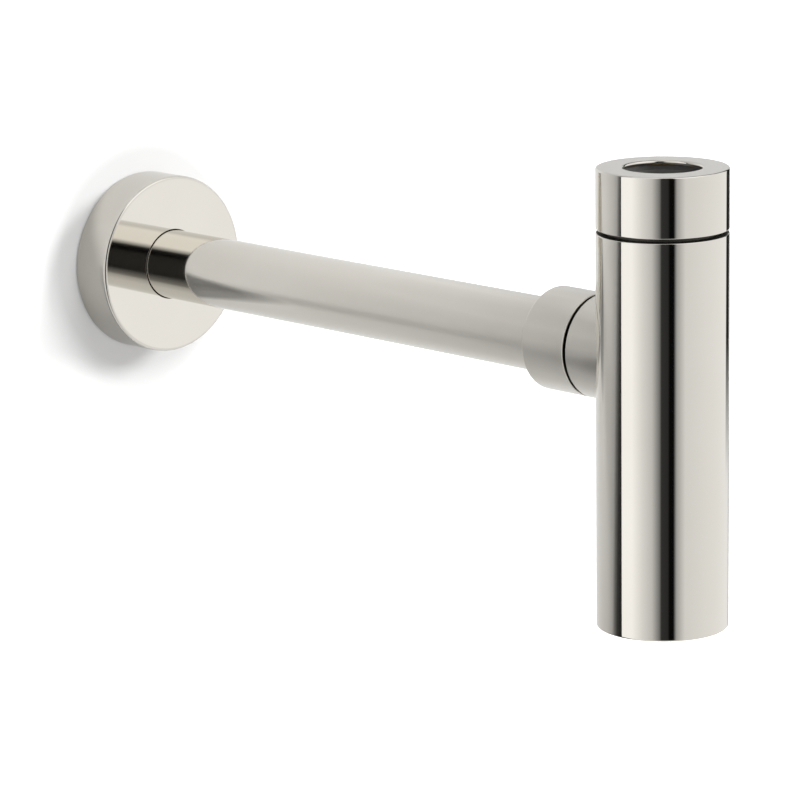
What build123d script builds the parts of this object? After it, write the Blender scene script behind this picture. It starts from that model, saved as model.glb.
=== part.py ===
from build123d import *
import os

# A basin's bottle trap, in millimetres. The origin is where the waste pipe's axis meets the wall
# plane, X runs along the pipe to the bottle, and Z is up.

# Waste pipe: a plain drawn tube, with a rolled mark that shows how far its tail goes into the wall
pipe_od = 31.75
pipe_wall = 1.4
tail_length = 45.0
tail_mark_setback = 1.5
tail_mark_width = 1.2
tail_mark_depth = 0.3
pipe_end_chamfer = 0.5
pipe_stop_gap = 5.0

# Bottle: a tube closed at its base, with a threaded neck for the inlet nut
reach = 328.0
bottle_od = 54.9
bottle_wall = 1.5
bottle_depth = 113.6
base_thickness = 3.0
floor_radius = 3.0
shoulder_height = 52.2
shoulder_thickness = 3.0
neck_wall = 4.0
thread_length = 10.4
relief_length = 2.8
relief_depth = 1.2
thread_chamfer = 0.8

# Outlet spigot: a turned branch brazed to the bottle's side, with a boss and a threaded end
spigot_wall = 4.05
boss_stand = 7.0
stop_lip = 0.6

# Inlet and outlet nuts: plain turned caps that close on the seals, flush with the bottle and the boss
inlet_nut_length = 25.2
outlet_nut_length = 23.9
inlet_nut_wall = 2.8
outlet_nut_wall = 1.65
inlet_gap = 1.7
outlet_gap = 1.6
inlet_lip = 2.0
outlet_lip = 3.0
tailpiece_od = 31.75

# Seals: tapered rubber washers, each behind a slip ring, and the taper that they wedge into
slip_ring_thickness = 2.0
taper_depth = 4.0
taper_flare = 2.0
seal_nose_wall = 0.9
seal_rim_setback = 1.2

# Dip tube: hangs in the bottle from its own flange, over a flat gasket on the neck's rim
dip_tube_wall = 1.25
dip_flange_thickness = 4.5
gasket_thickness = 1.5
water_seal = 52.0

# Wall flange: a turned shell with a hub inside that holds a ring against the pipe
flange_od = 81.7
flange_depth = 20.4
flange_wall = 1.6
hub_wall = 4.5
hub_length = 10.0
o_ring_cord = 2.4
o_ring_groove_width = 3.0
o_ring_setback = 5.5

# Radial clearances, and the play of the loose pieces, which must pass the threads in the nuts
pipe_clearance = 0.275
dip_tube_clearance = 0.375
slip_ring_clearance = 0.6
thread_clearance = 0.15
seal_clearance = 0.05
taper_clearance = 0.15
loose_play = 1.25

# Edge roundings
rim_radius = 0.8
seam_radius = 0.4
hole_radius = 0.3
flange_edge_radius = 1.5

pipe_r = pipe_od / 2
pipe_bore_r = pipe_r - pipe_wall
pipe_hole_r = pipe_r + pipe_clearance
bottle_r = bottle_od / 2
bottle_bore_r = bottle_r - bottle_wall
tailpiece_r = tailpiece_od / 2
tailpiece_hole_r = tailpiece_r + pipe_clearance
inlet_nut_bore_r = bottle_r - inlet_nut_wall
neck_thread_r = inlet_nut_bore_r - thread_clearance
neck_bore_r = neck_thread_r - neck_wall
spigot_thread_r = pipe_hole_r + spigot_wall
outlet_nut_bore_r = spigot_thread_r + thread_clearance
boss_r = outlet_nut_bore_r + outlet_nut_wall

# Heights of the inlet's pieces above the pipe's axis
neck_top = shoulder_height + relief_length + thread_length
inlet_nut_foot = shoulder_height + inlet_gap
inlet_nut_top = inlet_nut_foot + inlet_nut_length
inlet_ring_top = inlet_nut_top - inlet_lip
inlet_seal_top = inlet_ring_top - slip_ring_thickness
dip_flange_foot = neck_top + gasket_thickness
dip_flange_top = dip_flange_foot + dip_flange_thickness
dip_tube_r = tailpiece_r + dip_tube_clearance + dip_tube_wall
dip_tube_foot = -pipe_bore_r - water_seal
dip_flange_r = inlet_nut_bore_r - loose_play

# Distances of the outlet's pieces from the bottle's axis, towards the wall
boss_face = bottle_r + boss_stand
spigot_tip = boss_face + relief_length + thread_length
socket_stop = bottle_r + stop_lip
pipe_inner_end = socket_stop + pipe_stop_gap
outlet_nut_foot = boss_face + outlet_gap
outlet_nut_top = outlet_nut_foot + outlet_nut_length
outlet_ring_top = outlet_nut_top - outlet_lip
outlet_seal_top = outlet_ring_top - slip_ring_thickness

# Both planes have the radius along their own X, and the distance outwards from the bottle along their Y
inlet_plane = Plane((reach, 0, 0), x_dir=(1, 0, 0), z_dir=(0, -1, 0))
outlet_plane = Plane((reach, 0, 0), x_dir=(0, 0, 1), z_dir=(0, -1, 0))
inlet_axis = Axis((reach, 0, 0), (0, 0, 1))
outlet_axis = Axis((reach, 0, 0), (-1, 0, 0))


def round_corner(outline, corner, radius):
    fillet(outline.vertices().sort_by_distance(corner)[:1], radius)


def bevel_corner(outline, corner, length):
    chamfer(outline.vertices().sort_by_distance(corner)[:1], length)


def turn_nut(plane, axis, foot, top, lip, outer_r, bore_r, hole_r):
    """A cap with a plain threaded bore, open at its foot, and a round hole through the lip at its top."""
    with BuildSketch(plane) as outline:
        with BuildLine():
            Polyline(
                (hole_r, top),
                (outer_r, top),
                (outer_r, foot),
                (bore_r, foot),
                (bore_r, top - lip),
                (hole_r, top - lip),
                close=True,
            )
        make_face()
        round_corner(outline, (outer_r, top), rim_radius)
        round_corner(outline, (outer_r, foot), seam_radius)
        bevel_corner(outline, (bore_r, foot), thread_chamfer)
        round_corner(outline, (hole_r, top), hole_radius)
        round_corner(outline, (hole_r, top - lip), hole_radius)
    revolve(outline.sketch, axis=axis)


def turn_ring(plane, axis, inner_r, outer_r, low, high):
    """A flat ring with square edges."""
    with BuildSketch(plane) as outline:
        with Locations(((inner_r + outer_r) / 2, (low + high) / 2)):
            Rectangle(outer_r - inner_r, high - low)
    revolve(outline.sketch, axis=axis)


def turn_seal(plane, axis, bore_r, rim_r, top, seat, seat_hole_r):
    """A tapered washer: a thick rim under the slip ring, and a nose that wedges into the taper of its seat."""
    taper_start = seat + taper_clearance
    wide_r = seat_hole_r + taper_flare
    nose_r = bore_r + seal_nose_wall
    nose_tip = taper_start - taper_depth * (wide_r - nose_r) / taper_flare
    with BuildSketch(plane) as outline:
        with BuildLine():
            Polyline(
                (bore_r, top),
                (rim_r, top),
                (rim_r, seat + seal_rim_setback),
                (wide_r, taper_start),
                (nose_r, nose_tip),
                (bore_r, nose_tip),
                close=True,
            )
        make_face()
    revolve(outline.sketch, axis=axis)


os.makedirs("parts", exist_ok=True)

# Bottle: the body with its neck, then the hollow and the hole for the outlet
with BuildPart() as bottle:
    neck_relief_r = neck_thread_r - relief_depth
    with BuildSketch(inlet_plane) as body_outline:
        with BuildLine():
            Polyline(
                (0, -bottle_depth),
                (bottle_r, -bottle_depth),
                (bottle_r, shoulder_height),
                (neck_relief_r, shoulder_height),
                (neck_relief_r, shoulder_height + relief_length),
                (neck_thread_r, shoulder_height + relief_length),
                (neck_thread_r, neck_top),
                (0, neck_top),
                close=True,
            )
        make_face()
        round_corner(body_outline, (bottle_r, -bottle_depth), rim_radius)
        round_corner(body_outline, (bottle_r, shoulder_height), seam_radius)
        bevel_corner(body_outline, (neck_thread_r, neck_top), thread_chamfer)
    revolve(axis=inlet_axis)

    floor_height = base_thickness - bottle_depth
    ceiling_height = shoulder_height - shoulder_thickness
    with BuildSketch(inlet_plane) as hollow_outline:
        with BuildLine():
            Polyline(
                (0, floor_height),
                (bottle_bore_r, floor_height),
                (bottle_bore_r, ceiling_height),
                (neck_bore_r, ceiling_height),
                (neck_bore_r, neck_top),
                (0, neck_top),
                close=True,
            )
        make_face()
        round_corner(hollow_outline, (bottle_bore_r, floor_height), floor_radius)
    revolve(axis=inlet_axis, mode=Mode.SUBTRACT)

    with BuildSketch(Plane((reach, 0, 0), z_dir=(-1, 0, 0))):
        Circle(pipe_bore_r)
    extrude(amount=bottle_r, mode=Mode.SUBTRACT)
bottle.part.label = "bottle"
export_step(bottle.part, "parts/bottle.step")

# Outlet spigot: its saddle end fits the bottle's side, and its socket takes the waste pipe up to a stop
with BuildPart() as outlet_spigot:
    spigot_relief_r = spigot_thread_r - relief_depth
    with BuildSketch(outlet_plane) as branch_outline:
        with BuildLine():
            Polyline(
                (0, 0),
                (boss_r, 0),
                (boss_r, boss_face),
                (spigot_relief_r, boss_face),
                (spigot_relief_r, boss_face + relief_length),
                (spigot_thread_r, boss_face + relief_length),
                (spigot_thread_r, spigot_tip),
                (0, spigot_tip),
                close=True,
            )
        make_face()
        round_corner(branch_outline, (boss_r, boss_face), seam_radius)
        bevel_corner(branch_outline, (spigot_thread_r, spigot_tip), thread_chamfer)
    revolve(axis=outlet_axis)

    with BuildSketch(Plane((reach, 0, -boss_r))):
        Circle(bottle_r)
    extrude(amount=2 * boss_r, mode=Mode.SUBTRACT)

    with BuildSketch(outlet_plane):
        with BuildLine():
            Polyline(
                (0, 0),
                (pipe_bore_r, 0),
                (pipe_bore_r, socket_stop),
                (pipe_hole_r, socket_stop),
                (pipe_hole_r, spigot_tip - taper_depth),
                (pipe_hole_r + taper_flare, spigot_tip),
                (0, spigot_tip),
                close=True,
            )
        make_face()
    revolve(axis=outlet_axis, mode=Mode.SUBTRACT)
outlet_spigot.part.label = "outlet_spigot"
export_step(outlet_spigot.part, "parts/outlet_spigot.step")

# Dip tube: carries the waste down below the outlet, so that the bottle keeps its water
with BuildPart() as dip_tube:
    dip_bore_r = tailpiece_r + dip_tube_clearance
    with BuildSketch(inlet_plane):
        with BuildLine():
            Polyline(
                (dip_bore_r, dip_tube_foot),
                (dip_tube_r, dip_tube_foot),
                (dip_tube_r, dip_flange_foot),
                (dip_flange_r, dip_flange_foot),
                (dip_flange_r, dip_flange_top),
                (dip_bore_r + taper_flare, dip_flange_top),
                (dip_bore_r, dip_flange_top - taper_depth),
                close=True,
            )
        make_face()
    revolve(axis=inlet_axis)
dip_tube.part.label = "dip_tube"
export_step(dip_tube.part, "parts/dip_tube.step")

# Gasket: a flat washer between the neck's rim and the dip tube's flange
with BuildPart() as dip_tube_gasket:
    turn_ring(inlet_plane, inlet_axis, neck_bore_r, dip_flange_r, neck_top, dip_flange_foot)
dip_tube_gasket.part.label = "dip_tube_gasket"
export_step(dip_tube_gasket.part, "parts/dip_tube_gasket.step")

# Inlet seal: grips the basin's tailpiece
with BuildPart() as inlet_seal:
    turn_seal(
        inlet_plane,
        inlet_axis,
        bore_r=tailpiece_r + seal_clearance,
        rim_r=dip_flange_r,
        top=inlet_seal_top,
        seat=dip_flange_top,
        seat_hole_r=tailpiece_r + dip_tube_clearance,
    )
inlet_seal.part.label = "inlet_seal"
export_step(inlet_seal.part, "parts/inlet_seal.step")

# Inlet slip ring: lets the inlet nut turn without twisting its seal
with BuildPart() as inlet_slip_ring:
    ring_bore_r = tailpiece_r + slip_ring_clearance
    turn_ring(inlet_plane, inlet_axis, ring_bore_r, dip_flange_r, inlet_seal_top, inlet_ring_top)
inlet_slip_ring.part.label = "inlet_slip_ring"
export_step(inlet_slip_ring.part, "parts/inlet_slip_ring.step")

# Inlet nut: the bottle's top section, as wide as the bottle
with BuildPart() as inlet_nut:
    turn_nut(
        inlet_plane,
        inlet_axis,
        foot=inlet_nut_foot,
        top=inlet_nut_top,
        lip=inlet_lip,
        outer_r=bottle_r,
        bore_r=inlet_nut_bore_r,
        hole_r=tailpiece_hole_r,
    )
inlet_nut.part.label = "inlet_nut"
export_step(inlet_nut.part, "parts/inlet_nut.step")

# Outlet seal: grips the waste pipe and wedges into the spigot
outlet_rim_r = outlet_nut_bore_r - loose_play
with BuildPart() as outlet_seal:
    turn_seal(
        outlet_plane,
        outlet_axis,
        bore_r=pipe_r + seal_clearance,
        rim_r=outlet_rim_r,
        top=outlet_seal_top,
        seat=spigot_tip,
        seat_hole_r=pipe_hole_r,
    )
outlet_seal.part.label = "outlet_seal"
export_step(outlet_seal.part, "parts/outlet_seal.step")

# Outlet slip ring: lets the outlet nut turn without twisting its seal
with BuildPart() as outlet_slip_ring:
    ring_bore_r = pipe_r + slip_ring_clearance
    turn_ring(outlet_plane, outlet_axis, ring_bore_r, outlet_rim_r, outlet_seal_top, outlet_ring_top)
outlet_slip_ring.part.label = "outlet_slip_ring"
export_step(outlet_slip_ring.part, "parts/outlet_slip_ring.step")

# Outlet nut: a sleeve as wide as the bottle's boss
with BuildPart() as outlet_nut:
    turn_nut(
        outlet_plane,
        outlet_axis,
        foot=outlet_nut_foot,
        top=outlet_nut_top,
        lip=outlet_lip,
        outer_r=boss_r,
        bore_r=outlet_nut_bore_r,
        hole_r=pipe_hole_r,
    )
outlet_nut.part.label = "outlet_nut"
export_step(outlet_nut.part, "parts/outlet_nut.step")

# Waste pipe: from its tail behind the wall to just short of the stop in the bottle's socket
with BuildPart() as waste_pipe:
    with BuildSketch(Plane.XZ) as pipe_outline:
        pipe_end_x = reach - pipe_inner_end
        with BuildLine():
            Polyline(
                (-tail_length, pipe_bore_r),
                (-tail_length, pipe_r),
                (pipe_end_x, pipe_r),
                (pipe_end_x, pipe_bore_r),
                close=True,
            )
        make_face()
        bevel_corner(pipe_outline, (-tail_length, pipe_r), pipe_end_chamfer)
        bevel_corner(pipe_outline, (pipe_end_x, pipe_r), pipe_end_chamfer)
        with Locations((-tail_mark_setback - tail_mark_width / 2, pipe_r)):
            Rectangle(tail_mark_width, 2 * tail_mark_depth, mode=Mode.SUBTRACT)
    revolve(axis=Axis.X)
waste_pipe.part.label = "waste_pipe"
export_step(waste_pipe.part, "parts/waste_pipe.step")

# Wall flange: hides the hole in the wall, open at the back
hub_r = pipe_hole_r + hub_wall
o_ring_x = flange_depth - o_ring_setback
o_ring_middle_r = pipe_r + seal_clearance + o_ring_cord / 2
with BuildPart() as wall_flange:
    flange_r = flange_od / 2
    with BuildSketch(Plane.XZ) as flange_outline:
        with BuildLine():
            Polyline(
                (0, flange_r - flange_wall),
                (0, flange_r),
                (flange_depth, flange_r),
                (flange_depth, pipe_hole_r),
                (flange_depth - hub_length, pipe_hole_r),
                (flange_depth - hub_length, hub_r),
                (flange_depth - flange_wall, hub_r),
                (flange_depth - flange_wall, flange_r - flange_wall),
                close=True,
            )
        make_face()
        round_corner(flange_outline, (flange_depth, flange_r), flange_edge_radius)
        round_corner(flange_outline, (0, flange_r), hole_radius)
        round_corner(flange_outline, (flange_depth, pipe_hole_r), hole_radius)
        groove_depth = o_ring_middle_r + o_ring_cord / 2 + seal_clearance - pipe_hole_r
        with Locations((o_ring_x, pipe_hole_r)):
            Rectangle(o_ring_groove_width, 2 * groove_depth, mode=Mode.SUBTRACT)
    revolve(axis=Axis.X)
wall_flange.part.label = "wall_flange"
export_step(wall_flange.part, "parts/wall_flange.step")

# Flange ring: a round rubber cord ring that holds the flange where it is pushed to
with BuildPart() as flange_o_ring:
    with BuildSketch(Plane.XZ):
        with Locations((o_ring_x, o_ring_middle_r)):
            Circle(o_ring_cord / 2)
    revolve(axis=Axis.X)
flange_o_ring.part.label = "flange_o_ring"
export_step(flange_o_ring.part, "parts/flange_o_ring.step")
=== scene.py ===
import math

import bpy
from mathutils import Matrix, Vector


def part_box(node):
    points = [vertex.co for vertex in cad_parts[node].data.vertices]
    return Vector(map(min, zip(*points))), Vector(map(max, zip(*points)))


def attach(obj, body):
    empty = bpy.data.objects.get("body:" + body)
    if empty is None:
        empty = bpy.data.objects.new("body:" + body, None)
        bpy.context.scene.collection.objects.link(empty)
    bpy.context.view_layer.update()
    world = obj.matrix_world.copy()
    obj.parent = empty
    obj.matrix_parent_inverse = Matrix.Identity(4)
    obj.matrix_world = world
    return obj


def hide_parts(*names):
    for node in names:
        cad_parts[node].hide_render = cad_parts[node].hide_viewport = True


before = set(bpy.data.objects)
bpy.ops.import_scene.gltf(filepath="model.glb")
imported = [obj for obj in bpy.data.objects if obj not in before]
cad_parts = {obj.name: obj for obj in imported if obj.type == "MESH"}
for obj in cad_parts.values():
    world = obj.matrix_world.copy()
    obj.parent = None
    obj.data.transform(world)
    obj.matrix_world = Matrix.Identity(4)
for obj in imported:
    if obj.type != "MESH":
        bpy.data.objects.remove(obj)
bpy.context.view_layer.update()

# Waste pipe. A length of drawn brass tube, cut square, polished and nickel plated. Its tail goes into
# the wall as far as the rolled mark, and its other end slides into the bottle's socket.
MM = 0.001
TURN_STEPS = 256
ARC_STEPS = 6
MERGE_REACH = 0.001 * MM
CORNER_REACH = 0.01 * MM
SHARP_ANGLE = math.radians(32)
FACE_WEIGHT = 100
pipe_low, pipe_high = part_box("waste_pipe")
pipe_radius = pipe_high.z
pipe_wall = 1.4 * MM
pipe_edge = 0.5 * MM
pipe_mark_near = -1.5 * MM
pipe_mark_width = 1.2 * MM
pipe_mark_depth = 0.3 * MM
FROM_WALL = (0.0, math.radians(90), 0.0)
NICKEL_LIGHT = (0.715, 0.693, 0.642, 1.0)
NICKEL_WARM = (0.675, 0.648, 0.592, 1.0)
# Greys of the dark nickel in the bores, threads and grooves under the nuts, which are painted shade, and
# lighter greys for the hollows of the pipe and the flange.
PAINTED_SHADE_DARK = (0.1, 0.095, 0.085, 1.0)
PAINTED_SHADE_GREY = (0.2, 0.19, 0.17, 1.0)
HOLLOW_DARK = (0.36, 0.345, 0.31, 1.0)
HOLLOW_GREY = (0.52, 0.5, 0.455, 1.0)
WHEEL_FINE = 900.0
WHEEL_LONG = 35.0


class Wire:
    """An output socket of a node. Arithmetic on it adds Math nodes to the same node tree."""

    def __init__(self, tree, socket=None):
        self.tree = tree
        self.socket = socket

    def node(self, kind, settings=None, inputs=None, output=0):
        made = self.tree.nodes.new(kind)
        for name, value in (settings or {}).items():
            if name == "stops":
                ramp = made.color_ramp
                while len(ramp.elements) < len(value):
                    ramp.elements.new(1.0)
                for element, (place, color) in zip(ramp.elements, value):
                    element.position = place
                    element.color = color
            else:
                setattr(made, name, value)
        for name, value in (inputs or {}).items():
            if isinstance(value, Wire):
                self.tree.links.new(value.socket, made.inputs[name])
            else:
                made.inputs[name].default_value = value
        return Wire(self.tree, made.outputs[output]) if made.outputs else made

    def math(self, operation, first, second=0.0):
        return self.node("ShaderNodeMath", {"operation": operation}, {0: first, 1: second})

    def blend(self, factor, first, second):
        """A colour that goes from the first to the second as the factor rises."""
        return self.node("ShaderNodeMix", {"data_type": "RGBA"}, {0: factor, 6: first, 7: second}, 2)

    def __add__(self, other):
        return self.math("ADD", self, other)

    def __radd__(self, other):
        return self.math("ADD", other, self)

    def __sub__(self, other):
        return self.math("SUBTRACT", self, other)

    def __rsub__(self, other):
        return self.math("SUBTRACT", other, self)

    def __mul__(self, other):
        return self.math("MULTIPLY", self, other)

    def __rmul__(self, other):
        return self.math("MULTIPLY", other, self)


def new_material(name):
    material = bpy.data.materials.new(name)
    material.use_nodes = True
    material.node_tree.nodes.clear()
    return material, Wire(material.node_tree)


def finish_surface(wire, inputs):
    surface = wire.node("ShaderNodeBsdfPrincipled", None, inputs)
    wire.node("ShaderNodeOutputMaterial", None, {"Surface": surface})


def polished_nickel(name, along):
    """Mirror nickel with the faint lines of the polishing wheel, which run round the axis of each piece."""
    material, wire = new_material(name)
    place = wire.node("ShaderNodeTexCoord", None, None, "Object")
    squeeze = tuple(WHEEL_FINE if axis == along else WHEEL_LONG for axis in "XYZ")
    fine = wire.node("ShaderNodeMapping", None, {"Vector": place, "Scale": squeeze})
    lines = wire.node("ShaderNodeTexNoise", None, {"Vector": fine, "Scale": 1.0, "Detail": 3.0})
    clouds = wire.node("ShaderNodeTexNoise", None, {"Vector": place, "Scale": 22.0, "Detail": 2.0})
    tint = wire.blend(clouds, NICKEL_LIGHT, NICKEL_WARM)
    polish = wire.node("ShaderNodeBump", None, {"Strength": 0.02, "Distance": 0.05 * MM, "Height": lines})
    finish_surface(
        wire,
        {
            "Base Color": tint,
            "Metallic": 1.0,
            "Roughness": 0.035 + lines * 0.03,
            "Normal": polish,
        },
    )
    return material


def unpolished_nickel(name, dark, grey):
    """Thin plate on brass that no wheel has reached: dull and a little uneven, between two given colours.
    """
    material, wire = new_material(name)
    place = wire.node("ShaderNodeTexCoord", None, None, "Object")
    grain = wire.node("ShaderNodeTexNoise", None, {"Vector": place, "Scale": 300.0, "Detail": 6.0})
    tint = wire.blend(grain, dark, grey)
    tooth = wire.node("ShaderNodeBump", None, {"Strength": 0.2, "Distance": 0.04 * MM, "Height": grain})
    finish_surface(
        wire,
        {
            "Base Color": tint,
            "Metallic": 1.0,
            "Roughness": 0.45 + grain * 0.2,
            "Normal": tooth,
        },
    )
    return material


def draw_outline(name, outline):
    """Draws edges through corners of (radius, height), closed unless both ends lie on the axis."""
    bpy.ops.object.select_all(action="DESELECT")
    bpy.ops.mesh.primitive_plane_add(size=MM)
    piece = bpy.context.object
    piece.name = name
    bpy.ops.object.mode_set(mode="EDIT")
    bpy.ops.mesh.merge(type="CENTER")
    corners = [Vector((radius, 0.0, height)) for radius, height in outline]
    on_axis = outline[0][0] == 0.0 and outline[-1][0] == 0.0
    bpy.ops.transform.translate(value=corners[0])
    for here, there in zip(corners, corners[1:] if on_axis else corners[1:] + corners[:1]):
        bpy.ops.mesh.extrude_region_move(TRANSFORM_OT_translate={"value": there - here})
    bpy.ops.mesh.select_all(action="SELECT")
    bpy.ops.mesh.remove_doubles(threshold=MERGE_REACH)
    return piece


def sweep(piece, steps, pitch=0.0, turns=1):
    """Sweeps an outline round the upright axis, closes its ends if it climbs, and faces it outwards."""
    bpy.ops.object.mode_set(mode="OBJECT")
    path = piece.modifiers.new("path", "SCREW")
    path.axis = "Z"
    path.angle = math.tau
    path.screw_offset = pitch
    path.iterations = turns
    path.steps = path.render_steps = steps
    bpy.ops.object.modifier_apply(modifier=path.name)
    bpy.ops.object.mode_set(mode="EDIT")
    bpy.ops.mesh.select_all(action="SELECT")
    bpy.ops.mesh.remove_doubles(threshold=MERGE_REACH)
    bpy.ops.mesh.fill_holes(sides=4)
    bpy.ops.mesh.select_all(action="SELECT")
    bpy.ops.mesh.normals_make_consistent(inside=False)
    bpy.ops.object.mode_set(mode="OBJECT")


def turn(name, outline, rounded):
    """Draws an outline, rounds the corners that have a radius, and sweeps it into a ring."""
    piece = draw_outline(name, outline)
    for (radius, height), size in rounded.items():
        bpy.ops.mesh.select_all(action="DESELECT")
        bpy.ops.object.mode_set(mode="OBJECT")
        corner = Vector((radius, 0.0, height))
        for point in piece.data.vertices:
            point.select = (point.co - corner).length < CORNER_REACH
        bpy.ops.object.mode_set(mode="EDIT")
        bpy.ops.mesh.bevel(offset=size, segments=ARC_STEPS, affect="VERTICES")
    sweep(piece, TURN_STEPS)
    return piece


def settle(piece, materials, hidden=None, place=(0.0, 0.0, 0.0), turned=(0.0, 0.0, 0.0)):
    """Puts a turned piece on its axis in the trap, fixes that place in its mesh, and smooths its faces.

    A face for which hidden(radius, height) is true gets the second material.
    """
    piece.data.materials.clear()
    for material in materials:
        piece.data.materials.append(material)
    for face in piece.data.polygons:
        radius = math.hypot(face.center.x, face.center.y)
        face.material_index = 1 if hidden and hidden(radius, face.center.z) else 0
    piece.location = place
    piece.rotation_euler = turned
    bpy.ops.object.select_all(action="DESELECT")
    piece.select_set(True)
    bpy.context.view_layer.objects.active = piece
    bpy.ops.object.transform_apply(location=True, rotation=True, scale=True)
    bpy.ops.object.shade_smooth_by_angle(angle=SHARP_ANGLE)
    even = piece.modifiers.new("even_shading", "WEIGHTED_NORMAL")
    even.keep_sharp = True
    even.weight = FACE_WEIGHT
    bpy.ops.object.modifier_apply(modifier=even.name)


nickel_along_pipe = polished_nickel("nickel_along_pipe", "X")
# Dark nickel for the bores, threads and grooves under the nuts, which is painted shade.
nickel_painted_shade = unpolished_nickel("nickel_painted_shade", PAINTED_SHADE_DARK, PAINTED_SHADE_GREY)
nickel_hollow = unpolished_nickel("nickel_hollow", HOLLOW_DARK, HOLLOW_GREY)
ALONG_PIPE = (nickel_along_pipe, nickel_painted_shade)
HOLLOW_ALONG_PIPE = (nickel_along_pipe, nickel_hollow)
bore_radius = pipe_radius - pipe_wall
mark_far = pipe_mark_near - pipe_mark_width
mark_radius = pipe_radius - pipe_mark_depth
waste_pipe = turn(
    "waste_pipe_tube",
    [
        (bore_radius, pipe_low.x),
        (pipe_radius, pipe_low.x),
        (pipe_radius, mark_far),
        (mark_radius, mark_far),
        (mark_radius, pipe_mark_near),
        (pipe_radius, pipe_mark_near),
        (pipe_radius, pipe_high.x),
        (bore_radius, pipe_high.x),
    ],
    {
        (pipe_radius, pipe_low.x): pipe_edge,
        (pipe_radius, pipe_high.x): pipe_edge,
    },
)
settle(
    waste_pipe,
    HOLLOW_ALONG_PIPE,
    hidden=lambda radius, height: radius < pipe_radius - pipe_wall / 2,
    turned=FROM_WALL,
)
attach(waste_pipe, "waste_pipe")
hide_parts("waste_pipe")

# Wall flange. A turned brass shell, open at the back, that slides along the pipe and hides the hole in
# the wall. The hub inside it has a groove for the rubber ring that grips the pipe.
flange_low, flange_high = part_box("wall_flange")
flange_radius = flange_high.z
flange_wall = 1.6 * MM
pipe_clearance = 0.275 * MM
pipe_hole = pipe_radius + pipe_clearance
hub_wall = 4.5 * MM
hub_length = 10.0 * MM
hub_radius = pipe_hole + hub_wall
hub_back = flange_high.x - hub_length
ring_low, ring_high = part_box("flange_o_ring")
ring_groove_side = 0.3 * MM
ring_groove_clearance = 0.05 * MM
ring_groove_radius = ring_high.z + ring_groove_clearance
flange_front_edge = 1.5 * MM
flange_back_edge = 0.3 * MM
polish_reach = 1.0 * MM
wall_flange = turn(
    "wall_flange_shell",
    [
        (flange_radius - flange_wall, flange_low.x),
        (flange_radius, flange_low.x),
        (flange_radius, flange_high.x),
        (pipe_hole, flange_high.x),
        (pipe_hole, ring_high.x + ring_groove_side),
        (ring_groove_radius, ring_high.x + ring_groove_side),
        (ring_groove_radius, ring_low.x - ring_groove_side),
        (pipe_hole, ring_low.x - ring_groove_side),
        (pipe_hole, hub_back),
        (hub_radius, hub_back),
        (hub_radius, flange_high.x - flange_wall),
        (flange_radius - flange_wall, flange_high.x - flange_wall),
    ],
    {
        (flange_radius, flange_high.x): flange_front_edge,
        (flange_radius, flange_low.x): flange_back_edge,
        (pipe_hole, flange_high.x): flange_back_edge,
    },
)
settle(
    wall_flange,
    HOLLOW_ALONG_PIPE,
    hidden=lambda radius, height: (
        radius < flange_radius - flange_wall / 2 and height < flange_high.x - polish_reach
    ),
    turned=FROM_WALL,
)
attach(wall_flange, "wall_flange")
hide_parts("wall_flange")

# Rubber pieces. The flange's ring is moulded round cord, and the two tapered seals and the flat gasket
# are moulded black rubber, dull, with the fine grain of the mould and a little bloom.
RUBBER_BLACK = (0.085, 0.083, 0.078, 1.0)
RUBBER_BLOOM = (0.17, 0.166, 0.156, 1.0)


def moulded_rubber(name, grain):
    material, wire = new_material(name)
    place = wire.node("ShaderNodeTexCoord", None, None, "Object")
    specks = wire.node("ShaderNodeTexNoise", None, {"Vector": place, "Scale": grain, "Detail": 4.0})
    bloom = wire.node("ShaderNodeTexNoise", None, {"Vector": place, "Scale": 90.0, "Detail": 3.0})
    tint = wire.blend(bloom, RUBBER_BLACK, RUBBER_BLOOM)
    skin = wire.node("ShaderNodeBump", None, {"Strength": 0.25, "Distance": 0.08 * MM, "Height": specks})
    finish_surface(wire, {"Base Color": tint, "Roughness": 0.6 + specks * 0.25, "Normal": skin})
    return material


def dress(node, material):
    """Gives a piece that comes from the frame its material."""
    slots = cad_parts[node].data.materials
    slots.clear()
    slots.append(material)


seal_rubber = moulded_rubber("seal_rubber", grain=2600.0)
gasket_rubber = moulded_rubber("gasket_rubber", grain=1400.0)
for seal in ("flange_o_ring", "outlet_seal", "inlet_seal"):
    dress(seal, seal_rubber)
dress("dip_tube_gasket", gasket_rubber)

# Slip rings. Flat rings of dark slippery plastic, stamped from sheet, that let a nut turn without
# twisting the seal under it.
SLIP_DARK = (0.055, 0.055, 0.054, 1.0)
SLIP_WORN = (0.12, 0.119, 0.115, 1.0)
slip_plastic, wire = new_material("slip_plastic")
place = wire.node("ShaderNodeTexCoord", None, None, "Object")
rub = wire.node("ShaderNodeTexNoise", None, {"Vector": place, "Scale": 420.0, "Detail": 5.0})
tint = wire.blend(rub, SLIP_DARK, SLIP_WORN)
scuffs = wire.node("ShaderNodeBump", None, {"Strength": 0.1, "Distance": 0.03 * MM, "Height": rub})
finish_surface(wire, {"Base Color": tint, "Roughness": 0.32 + rub * 0.2, "Normal": scuffs})
for ring in ("outlet_slip_ring", "inlet_slip_ring"):
    dress(ring, slip_plastic)

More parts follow.
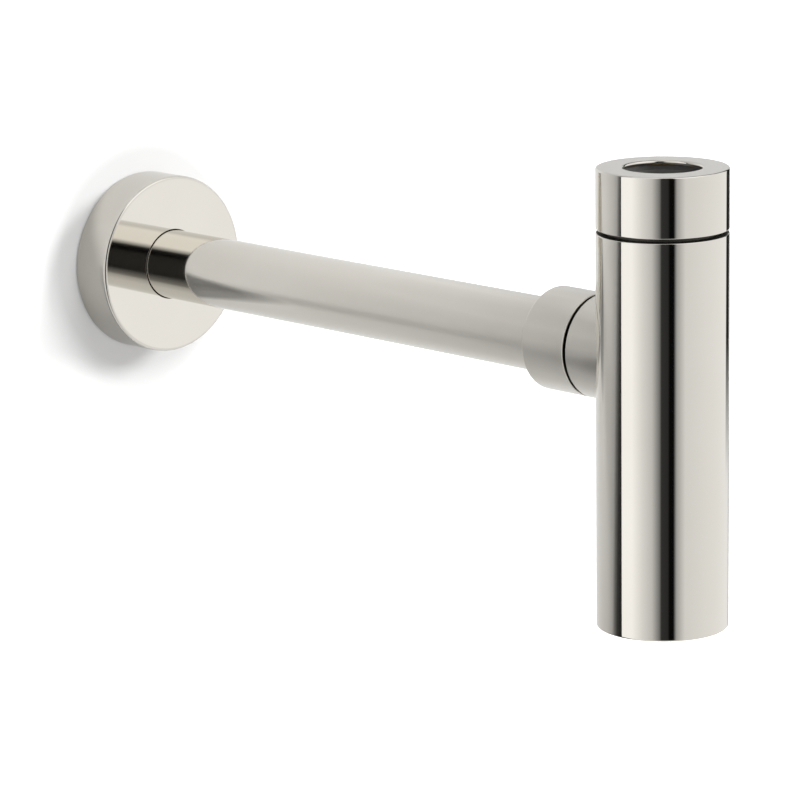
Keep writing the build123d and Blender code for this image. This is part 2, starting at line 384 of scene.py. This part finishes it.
# Bottle. Drawn brass tube with a spun base and a turned neck, brazed, polished and nickel plated.
# The inlet nut screws down over the neck's thread, and the outlet opens in its side.
bottle_low, bottle_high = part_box("bottle")
bottle_radius = (bottle_high.x - bottle_low.x) / 2
bottle_axis = (bottle_high.x + bottle_low.x) / 2
ON_BOTTLE = (bottle_axis, 0.0, 0.0)
bottle_wall = 1.5 * MM
bottle_base = 3.0 * MM
floor_round = 3.0 * MM
rim_round = 0.8 * MM
seam_round = 0.4 * MM
hole_round = 0.3 * MM
nut_low, nut_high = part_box("inlet_nut")
inlet_gap = 1.7 * MM
shoulder_depth = 3.0 * MM
shoulder = nut_low.z - inlet_gap
shoulder_under = shoulder - shoulder_depth
relief_length = 2.8 * MM
neck_bore = 20.5 * MM
neck_crest = 24.5 * MM
thread_depth = 1.1 * MM
thread_bite = 0.15 * MM
neck_root = neck_crest - thread_depth
outlet_cut = 15.5 * MM
bottle_inside = bottle_radius - bottle_wall
bottle_floor = bottle_low.z + bottle_base
bottle = turn(
    "bottle_shell",
    [
        (0.0, bottle_low.z),
        (bottle_radius, bottle_low.z),
        (bottle_radius, -outlet_cut),
        (bottle_radius, outlet_cut),
        (bottle_radius, shoulder),
        (neck_root, shoulder),
        (neck_root, bottle_high.z),
        (neck_bore, bottle_high.z),
        (neck_bore, shoulder_under),
        (bottle_inside, shoulder_under),
        (bottle_inside, outlet_cut),
        (bottle_inside, -outlet_cut),
        (bottle_inside, bottle_floor),
        (0.0, bottle_floor),
    ],
    {
        (bottle_radius, bottle_low.z): rim_round,
        (bottle_radius, shoulder): seam_round,
        (neck_root, bottle_high.z): seam_round,
        (bottle_inside, bottle_floor): floor_round,
    },
)


def cut_round(piece, radius, depth, place, turned):
    """Cuts a round bar out of a piece."""
    bpy.ops.object.select_all(action="DESELECT")
    bpy.ops.mesh.primitive_cylinder_add(
        vertices=TURN_STEPS, radius=radius, depth=depth, location=place, rotation=turned
    )
    bar = bpy.context.object
    cut = piece.modifiers.new("cut", "BOOLEAN")
    cut.operation = "DIFFERENCE"
    cut.solver = "EXACT"
    cut.object = bar
    bpy.context.view_layer.objects.active = piece
    bpy.ops.object.modifier_apply(modifier=cut.name)
    bpy.data.objects.remove(bar)


nickel_upright = polished_nickel("nickel_upright", "Z")
UPRIGHT = (nickel_upright, nickel_painted_shade)
outlet_hole = bore_radius
cut_round(bottle, outlet_hole, bottle_radius * 2, (-bottle_radius, 0.0, 0.0), FROM_WALL)
settle(
    bottle,
    UPRIGHT,
    hidden=lambda radius, height: (
        radius < bottle_radius - bottle_wall / 2 and height > bottle_low.z + polish_reach
    ),
    place=ON_BOTTLE,
)
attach(bottle, "bottle")
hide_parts("bottle")

# Outlet spigot. A turned brass branch with a saddle end, brazed to the bottle's side and plated with it.
# Its thread takes the outlet nut, and its socket takes the pipe.
OUT_OF_BOTTLE = (0.0, math.radians(-90), 0.0)
spigot_low, spigot_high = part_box("outlet_spigot")
boss_radius = spigot_high.z
spigot_tip = bottle_axis - spigot_low.x
spigot_crest = 20.2 * MM
spigot_root = spigot_crest - thread_depth
outlet_nut_low, outlet_nut_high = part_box("outlet_nut")
outlet_gap = 1.6 * MM
boss_face = bottle_axis - outlet_nut_high.x - outlet_gap
taper_depth = 4.0 * MM
taper_flare = 2.0 * MM
socket_step = 0.6 * MM
socket_stop = bottle_radius + socket_step
braze_bite = 0.02 * MM
branch_start = 10.0 * MM
spigot = turn(
    "outlet_spigot_branch",
    [
        (outlet_hole, branch_start),
        (boss_radius, branch_start),
        (boss_radius, boss_face),
        (spigot_root, boss_face),
        (spigot_root, spigot_tip),
        (pipe_hole + taper_flare, spigot_tip),
        (pipe_hole, spigot_tip - taper_depth),
        (pipe_hole, socket_stop),
        (outlet_hole, socket_stop),
    ],
    {
        (boss_radius, boss_face): seam_round,
    },
)
saddle_radius = bottle_radius - braze_bite
saddle_length = boss_radius * 3
cut_round(spigot, saddle_radius, saddle_length, (0.0, 0.0, 0.0), FROM_WALL)
settle(
    spigot,
    ALONG_PIPE,
    hidden=lambda radius, height: radius < boss_radius - polish_reach,
    place=ON_BOTTLE,
    turned=OUT_OF_BOTTLE,
)
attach(spigot, "bottle")
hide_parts("outlet_spigot")

# Threads on the neck and the spigot. Right-hand ridges, rolled into the brass, that the nuts run down.
# Each is a helix of one tooth's outline, sunk a little into the core.
THREAD_STEPS = 96
thread_pitch = 2.0 * MM
tooth_foot = 1.5 * MM
tooth_tip = 0.45 * MM
male_turns = 4
female_turns = 4


def wind_thread(name, root, crest, start, turns):
    """A ridge from root radius to crest radius that climbs one pitch a turn from the start height."""
    bite = math.copysign(thread_bite, crest - root)
    ridge = draw_outline(
        name,
        [
            (root - bite, start - tooth_foot / 2),
            (crest, start - tooth_tip / 2),
            (crest, start + tooth_tip / 2),
            (root - bite, start + tooth_foot / 2),
        ],
    )
    sweep(ridge, THREAD_STEPS, thread_pitch, turns)
    return ridge


neck_thread_start = shoulder + relief_length + thread_pitch / 2
neck_thread = wind_thread("neck_thread", neck_root, neck_crest, neck_thread_start, male_turns)
settle(neck_thread, [nickel_painted_shade], place=ON_BOTTLE)
spigot_thread_start = boss_face + relief_length + thread_pitch / 2
spigot_thread = wind_thread("spigot_thread", spigot_root, spigot_crest, spigot_thread_start, male_turns)
settle(spigot_thread, [nickel_painted_shade], place=ON_BOTTLE, turned=OUT_OF_BOTTLE)
for thread in (neck_thread, spigot_thread):
    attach(thread, "bottle")

# Dip tube. Plain drawn brass, not plated, because nobody sees it. It hangs in the neck from its own
# flange, and its foot stays under water.
BRASS_CLEAN = (0.62, 0.43, 0.17, 1.0)
BRASS_DULL = (0.38, 0.25, 0.1, 1.0)
DRAWN_FINE = 700.0
DRAWN_LONG = 12.0
plain_brass, wire = new_material("plain_brass")
place = wire.node("ShaderNodeTexCoord", None, None, "Object")
stretch = (DRAWN_FINE, DRAWN_FINE, DRAWN_LONG)
stretched = wire.node("ShaderNodeMapping", None, {"Vector": place, "Scale": stretch})
drawn = wire.node("ShaderNodeTexNoise", None, {"Vector": stretched, "Scale": 1.0, "Detail": 4.0})
stain = wire.node("ShaderNodeTexNoise", None, {"Vector": place, "Scale": 60.0, "Detail": 5.0})
tint = wire.blend(stain, BRASS_CLEAN, BRASS_DULL)
marks = wire.node("ShaderNodeBump", None, {"Strength": 0.15, "Distance": 0.03 * MM, "Height": drawn})
finish_surface(
    wire,
    {"Base Color": tint, "Metallic": 1.0, "Roughness": 0.22 + stain * 0.25, "Normal": marks},
)
dress("dip_tube", plain_brass)

# Inlet and outlet nuts. Turned brass caps, polished and nickel plated, as wide as the bottle and the boss.
# A lip at the top of each presses on its slip ring, and the bore has the matching thread.
nut_chamfer = 0.8 * MM
thread_clearance = 0.15 * MM


def turn_nut(name, outer, bore, hole, hole_edge, lip, foot, top):
    return turn(
        name,
        [
            (hole, top),
            (outer, top),
            (outer, foot),
            (bore + nut_chamfer, foot),
            (bore, foot + nut_chamfer),
            (bore, top - lip),
            (hole, top - lip),
        ],
        {
            (outer, top): rim_round,
            (outer, foot): seam_round,
            (hole, top): hole_edge,
            (hole, top - lip): hole_round,
        },
    )


inlet_lip = 2.0 * MM
inlet_hole = 16.15 * MM
inlet_bore = neck_crest + thread_clearance
inlet_hole_edge = 1.0 * MM
inlet_nut = turn_nut(
    "inlet_nut_cap",
    outer=bottle_radius,
    bore=inlet_bore,
    hole=inlet_hole,
    hole_edge=inlet_hole_edge,
    lip=inlet_lip,
    foot=nut_low.z,
    top=nut_high.z,
)
settle(
    inlet_nut,
    UPRIGHT,
    hidden=lambda radius, height: (
        radius < bottle_radius - polish_reach and height < nut_high.z - inlet_lip
    ),
    place=ON_BOTTLE,
)
inlet_thread = wind_thread(
    "inlet_nut_thread",
    inlet_bore,
    inlet_bore - thread_depth,
    neck_thread_start + thread_pitch / 2,
    female_turns,
)
settle(inlet_thread, [nickel_painted_shade], place=ON_BOTTLE)

outlet_lip = 3.0 * MM
outlet_nut_top = bottle_axis - outlet_nut_low.x
outlet_bore = spigot_crest + thread_clearance
outlet_nut = turn_nut(
    "outlet_nut_sleeve",
    outer=boss_radius,
    bore=outlet_bore,
    hole=pipe_hole,
    hole_edge=hole_round,
    lip=outlet_lip,
    foot=boss_face + outlet_gap,
    top=outlet_nut_top,
)
settle(
    outlet_nut,
    ALONG_PIPE,
    hidden=lambda radius, height: (
        radius < boss_radius - polish_reach and height < outlet_nut_top - outlet_lip
    ),
    place=ON_BOTTLE,
    turned=OUT_OF_BOTTLE,
)
outlet_thread = wind_thread(
    "outlet_nut_thread",
    outlet_bore,
    outlet_bore - thread_depth,
    spigot_thread_start + thread_pitch / 2,
    female_turns,
)
settle(outlet_thread, [nickel_painted_shade], place=ON_BOTTLE, turned=OUT_OF_BOTTLE)
for piece, body in (
    (inlet_nut, "inlet_nut"),
    (inlet_thread, "inlet_nut"),
    (outlet_nut, "outlet_nut"),
    (outlet_thread, "outlet_nut"),
):
    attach(piece, body)
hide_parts("inlet_nut")
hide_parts("outlet_nut")

# Camera. It stands to the left of the bottle and a little above the pipe, far off with a long lens.
# Its angles, distance and pan were fitted to the outlines of the pieces in the photograph.
azimuth = math.radians(46.427)
elevation = math.radians(12.503)
roll = math.radians(-0.765)
camera_distance = 1.80183
focal_length = 187.68
camera_target = Vector((0.2, 0.0, 0.0))
camera_pan = (-0.01922, -0.036472)
camera_back = Vector(
    (
        math.sin(azimuth) * math.cos(elevation),
        -math.cos(azimuth) * math.cos(elevation),
        math.sin(elevation),
    )
)
level_right = Vector((math.cos(azimuth), math.sin(azimuth), 0.0))
level_up = camera_back.cross(level_right)
camera_right = math.cos(roll) * level_right + math.sin(roll) * level_up
camera_up = math.cos(roll) * level_up - math.sin(roll) * level_right
lens = bpy.data.cameras.new("camera")
lens.lens = focal_length
lens.sensor_width = 36.0
lens.clip_end = 20.0
camera = bpy.data.objects.new("camera", lens)
bpy.context.scene.collection.objects.link(camera)
turned = Matrix((camera_right, camera_up, camera_back)).transposed().to_4x4()
place = camera_target + camera_back * camera_distance
place += camera_right * camera_pan[0] + camera_up * camera_pan[1]
camera.matrix_world = Matrix.Translation(place) @ turned
bpy.context.scene.camera = camera

# Wall and floor. The wall is a white board with a hole behind the flange. Painted shade fades it to grey at
# its near edge, lower down on that side, a little towards its far edge and high up, and the metal mirrors a
# painted shadow of the flange to its lower left. The camera sees the board whitened by a painted glow that
# is weakest near the flange. The floor is pale and far below. Both are seen only from their front.
board_near = -0.55
board_far = 0.9
board_half_height = 0.9
board_back = -0.0005
board_hole = 0.034
shade_slant = 0.7
shadow_left = 0.6
shadow_down = 0.53
# Steps of (metres, grey): along the board, up the board, away from the painted shadow's middle line, and
# twice away from the pipe's axis. The first two are painted shade and the third a painted shadow of the
# flange that the camera doesn't see; the strip that the flange's rim mirrors stays out of that shadow. The
# last is a painted glow that only the camera sees, weakest near the flange.
BOARD_SHADE = [
    (-0.65, 0.03),
    (-0.55, 0.06),
    (-0.47, 0.2),
    (-0.4, 0.48),
    (-0.3, 0.6),
    (-0.12, 0.72),
    (0.0, 0.74),
    (0.14, 0.72),
    (0.3, 0.5),
    (0.9, 0.45),
]
BOARD_HIGH_SHADE = [(-0.9, 1.0), (0.16, 1.0), (0.3, 0.76), (0.9, 0.7)]
PAINTED_FLANGE_SHADOW = [(0.0, 0.45), (0.0185, 0.45), (0.025, 1.0), (0.06, 1.0)]
RIM_STRIP = [(0.0, 1.0), (0.055, 1.0), (0.063, 0.0), (0.07, 0.0)]
BOARD_GLOW = [(0.0, 0.1), (0.05, 0.12), (0.065, 0.38), (0.09, 0.74), (0.14, 0.88), (0.2, 0.92)]


def grey_ramp(wire, source, steps):
    """A ramp of greys over a socket, through steps of (value, grey)."""
    low = steps[0][0]
    high = steps[-1][0]
    stops = [((place - low) / (high - low), (grey, grey, grey, 1.0)) for place, grey in steps]
    return wire.node("ShaderNodeValToRGB", {"stops": stops}, {0: (source - low) * (1 / (high - low))})


def stage_paint(wire, color, mirrored, whiten, gone):
    """Matt paint that the camera sees in a whitened colour and the metal in the mirrored colour.

    It isn't there where gone is 1.
    """
    matt = {"Roughness": 1.0, "Specular IOR Level": 0.0}
    paint = wire.node("ShaderNodeBsdfPrincipled", None, matt | {"Base Color": mirrored})
    glow = {"Base Color": color, "Emission Color": whiten, "Emission Strength": 1.0}
    glowing = wire.node("ShaderNodeBsdfPrincipled", None, matt | glow)
    seen = wire.node("ShaderNodeLightPath", None, None, "Is Camera Ray")
    front = wire.node("ShaderNodeMixShader", None, {0: seen, 1: paint, 2: glowing})
    clear = wire.node("ShaderNodeBsdfTransparent")
    sheet = wire.node("ShaderNodeMixShader", None, {0: gone, 1: front, 2: clear})
    wire.node("ShaderNodeOutputMaterial", None, {"Surface": sheet})


wall_paint, wire = new_material("wall_paint")
place = wire.node("ShaderNodeTexCoord", None, None, "Object")
across = wire.node("ShaderNodeSeparateXYZ", None, {0: place}, "Y")
upward = wire.node("ShaderNodeSeparateXYZ", None, {0: place}, "Z")
distance = wire.node("ShaderNodeVectorMath", {"operation": "LENGTH"}, {0: place}, "Value")
# Painted shade across and up the board; lower down it reaches further in from the near edge.
slanted = across + wire.math("MINIMUM", upward, 0.0) * shade_slant
shade = grey_ramp(wire, slanted, BOARD_SHADE)
shade *= grey_ramp(wire, upward, BOARD_HIGH_SHADE)
whiten = grey_ramp(wire, distance, BOARD_GLOW)
behind = wire.node("ShaderNodeNewGeometry", None, None, "Backfacing")
hole = wire.math("LESS_THAN", distance, board_hole)
# Painted shadow of the flange to its lower left, in the colour that the metal mirrors and not in the one
# the camera sees.
shadow_gauge = distance + across * shadow_left + upward * shadow_down
painted_shadow = grey_ramp(wire, shadow_gauge, PAINTED_FLANGE_SHADOW)
rim_strip = grey_ramp(wire, distance, RIM_STRIP)
shaded = shade * wire.math("MAXIMUM", painted_shadow, rim_strip)
stage_paint(wire, shade, shaded, whiten, wire.math("MAXIMUM", behind, hole))
bpy.ops.object.select_all(action="DESELECT")
bpy.ops.mesh.primitive_plane_add(
    size=1.0,
    location=(board_back, (board_near + board_far) / 2, 0.0),
    rotation=FROM_WALL,
)
board = bpy.context.object
board.name = "wall_board"
board.scale = (2 * board_half_height, board_far - board_near, 1.0)
bpy.ops.object.transform_apply(location=True, rotation=True, scale=True)
board.data.materials.append(wall_paint)

floor_height = -0.9
floor_size = 8.0
FLOOR_PALE = (0.82, 0.82, 0.815, 1.0)
FLOOR_GLOW = (0.4, 0.4, 0.4, 1.0)
floor_paint, wire = new_material("floor_paint")
behind = wire.node("ShaderNodeNewGeometry", None, None, "Backfacing")
stage_paint(wire, FLOOR_PALE, FLOOR_PALE, FLOOR_GLOW, behind)
bpy.ops.mesh.primitive_plane_add(size=floor_size, location=(0.0, 0.0, floor_height))
floor = bpy.context.object
floor.name = "studio_floor"
floor.data.materials.append(floor_paint)
floor.visible_glossy = False

# Studio light. A soft lamp on the right throws the flange's shadow to the left, a weaker one hangs above,
# and a small one shows only in the metal, on the flange's face. The room that the metal mirrors is white,
# with a dark gap behind the camera that goes on up the ceiling, and another past the board's far edge.
LAMP_AIM = Vector((0.1, 0.0, 0.0))


def hang_lamp(name, place, size, power, mirrored=False):
    """Hangs a square lamp. One that is mirrored shows in the metal and gives no light besides."""
    light = bpy.data.lights.new(name, "AREA")
    light.size = size
    light.energy = power
    lamp = bpy.data.objects.new(name, light)
    bpy.context.scene.collection.objects.link(lamp)
    lamp.location = place
    lamp.rotation_euler = (LAMP_AIM - place).to_track_quat("-Z", "Y").to_euler()
    lamp.visible_camera = False
    lamp.visible_glossy = mirrored
    lamp.visible_diffuse = not mirrored


hang_lamp("side_lamp", place=Vector((1.06, 1.0, 0.55)), size=0.45, power=15.2)
hang_lamp("top_lamp", place=Vector((0.75, 0.1, 1.3)), size=0.9, power=9.0)
hang_lamp("flange_lamp", place=Vector((0.208, 0.158, -0.046)), size=0.14, power=0.0078, mirrored=True)

# Steps of grey over height, from -1 below to 1 above, and over the bearing in degrees, which is 0 behind
# the camera and grows to the right.
ROOM_LIGHT = [(-1.0, 0.15), (0.0, 0.36), (1.0, 0.8)]
CEILING = [(-1.0, 0.0), (0.42, 0.0), (0.55, 1.0), (1.0, 1.0)]
POLES = [(-1.0, 0.7), (-0.75, 0.6), (-0.32, 0.0), (0.8, 0.0), (0.88, 1.0), (1.0, 1.0)]
POLE_WHITE = (0.9, 0.9, 0.9, 1.0)
BLACK = (0.0, 0.0, 0.0, 1.0)
WHITE = (1.0, 1.0, 1.0, 1.0)
ROOM = [
    (-180, 0.9),
    (-86, 0.9),
    (-85, 1.28),
    (-58, 1.28),
    (-38, 0.93),
    (-22, 0.7),
    (-14, 0.4),
    (-8, 0.2),
    (-6, 0.04),
    (6, 0.03),
    (8, 0.004),
    (16, 0.004),
    (21, 0.48),
    (36, 0.9),
    (79, 1.0),
    (118, 1.06),
    (136, 1.06),
    (160, 0.9),
    (180, 0.9),
]
OVERHEAD = [
    (-180, 0.9),
    (-16, 0.9),
    (-4, 0.03),
    (14, 0.03),
    (26, 1.4),
    (80, 1.4),
    (110, 0.9),
    (180, 0.9),
]
FAR_GAP = [(-180, 0.0), (136, 0.0), (138, 0.98), (156, 0.98), (159, 0.0), (180, 0.0)]
FAR_GAP_FOOT = [(-1.0, 0.0), (-0.235, 0.0), (-0.205, 1.0), (1.0, 1.0)]
world = bpy.data.worlds.new("studio")
bpy.context.scene.world = world
world.use_nodes = True
world.node_tree.nodes.clear()
wire = Wire(world.node_tree)
gaze = wire.node("ShaderNodeTexCoord", None, None, "Generated")
level_back = Vector((math.sin(azimuth), -math.cos(azimuth), 0.0))


def lean(wire, gaze, direction):
    """How far the gaze points in a direction, from -1 to 1."""
    return wire.node("ShaderNodeVectorMath", {"operation": "DOT_PRODUCT"}, {0: gaze, 1: direction}, 1)


rightward = lean(wire, gaze, level_right)
backward = lean(wire, gaze, level_back)
bearing = wire.math("ARCTAN2", rightward, backward) * math.degrees(1.0)
walls = grey_ramp(wire, bearing, ROOM)
overhead = grey_ramp(wire, bearing, OVERHEAD)
far_gap = grey_ramp(wire, bearing, FAR_GAP)
height = wire.node("ShaderNodeSeparateXYZ", None, {0: gaze}, "Z")
mirror = wire.node("ShaderNodeLightPath", None, None, "Is Glossy Ray")
seen = wire.node("ShaderNodeLightPath", None, None, "Is Camera Ray")
above = grey_ramp(wire, height, CEILING)
poles = grey_ramp(wire, height, POLES)
far_gap *= grey_ramp(wire, height, FAR_GAP_FOOT)
around = wire.blend(above, walls, overhead)
around = wire.blend(poles, around, POLE_WHITE)
around = wire.blend(far_gap, around, BLACK)
reflected = wire.node("ShaderNodeBackground", None, {"Color": around, "Strength": 1.0})
soft = grey_ramp(wire, height, ROOM_LIGHT)
plain = wire.node("ShaderNodeBackground", None, {"Color": soft, "Strength": 1.0})
white = wire.node("ShaderNodeBackground", None, {"Color": WHITE, "Strength": 1.0})
room = wire.node("ShaderNodeMixShader", None, {0: mirror, 1: plain, 2: reflected})
sky = wire.node("ShaderNodeMixShader", None, {0: seen, 1: room, 2: white})
wire.node("ShaderNodeOutputWorld", None, {"Surface": sky})
bpy.context.scene.view_settings.view_transform = "Standard"
